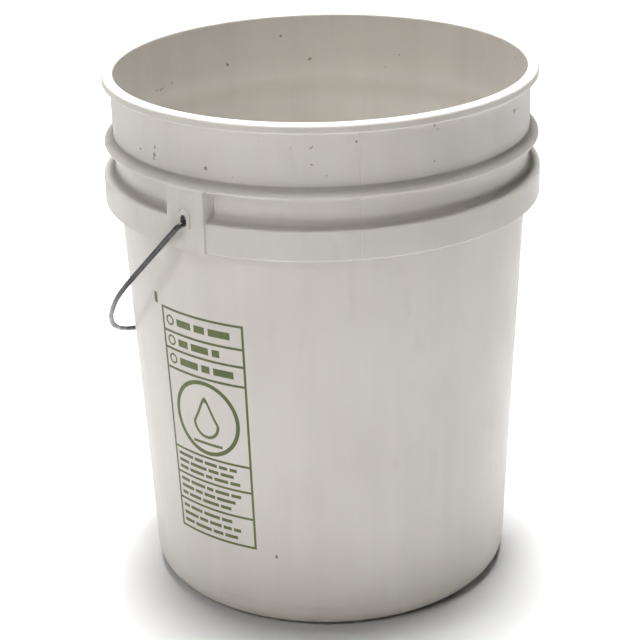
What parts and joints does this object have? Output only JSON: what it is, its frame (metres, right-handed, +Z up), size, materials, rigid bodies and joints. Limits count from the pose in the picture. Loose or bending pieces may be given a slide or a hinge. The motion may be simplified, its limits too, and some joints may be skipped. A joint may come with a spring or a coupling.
{
  "type": "fermenting bucket",
  "caption": "Open-head plastic fermenting pail with a bead rim for a press-on lid, two reinforcing rings, side ears and a swinging steel wire bail with a plastic grip.",
  "frame": {"origin": "centre of the foot ring, on the pail's axis, at the level that the pail stands on", "axes": "+Z up along the pail's axis; X through the two bail ears, with the printed panel's side at -X; the bail leans on the +Y side of the wall at rest"},
  "size_m": [0.3238, 0.3083, 0.375],
  "materials": {
    "pail_plastic": "satin moulded polyethylene, slightly translucent",
    "bail_steel": "drawn and galvanised wire, dulled",
    "grip_plastic": "satin moulded polyethylene",
    "panel_ink": "screen-printed ink, satin"
  },
  "bodies": {
    "pail": {"bucket": "pail_plastic"},
    "bail": {"bail_wire": "bail_steel"},
    "grip": {"grip": "grip_plastic"}
  },
  "joints": [
    {"name": "bail_swing", "type": "hinge", "parent": "pail", "child": "bail", "pos_m": [0, 0, 0.3035], "axis": [1, 0, 0], "range_deg": [0, 270]},
    {"name": "grip_roll", "type": "hinge", "parent": "bail", "child": "grip", "pos_m": [0, 0.1463, 0.1572], "axis": [1, 0, 0], "continuous": true}
  ]
}
